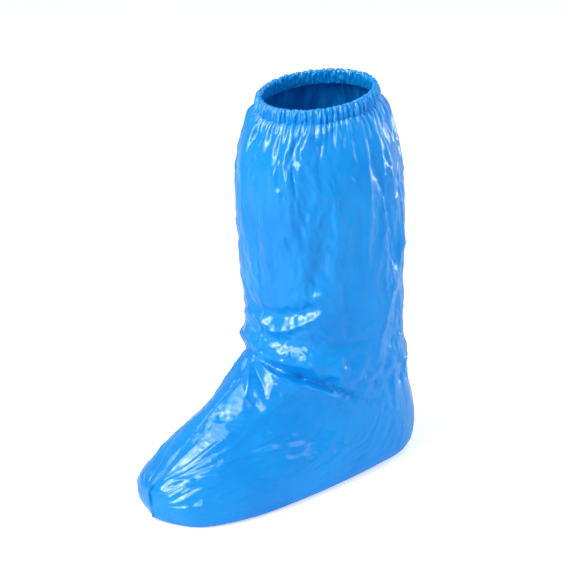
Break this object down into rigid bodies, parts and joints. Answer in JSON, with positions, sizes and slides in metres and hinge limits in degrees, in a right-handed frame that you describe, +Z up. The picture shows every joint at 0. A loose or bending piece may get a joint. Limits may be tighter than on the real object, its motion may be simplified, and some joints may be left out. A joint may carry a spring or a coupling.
{
  "type": "disposable boot cover",
  "caption": "Knee-low disposable boot cover of thin blue film, foot and shaft in one, with a folded hem gathered on an elastic band round the calf.",
  "frame": {"origin": "middle of the elastic band, on the axis of the calf that goes in", "axes": "+Z up the leg, -Y towards the toe, +X to the outer side of the foot"},
  "size_m": [0.134, 0.2888, 0.3432],
  "materials": {
    "film": "glossy soft polyethylene film, crinkled and slightly see-through",
    "weld": "heat-welded double film",
    "elastic": "pale covered elastic"
  },
  "bodies": {
    "root": {"outer_panel": "film", "inner_panel": "film", "centre_weld": "weld", "gathered_hem": "film", "elastic_band": "elastic"}
  },
  "joints": []
}
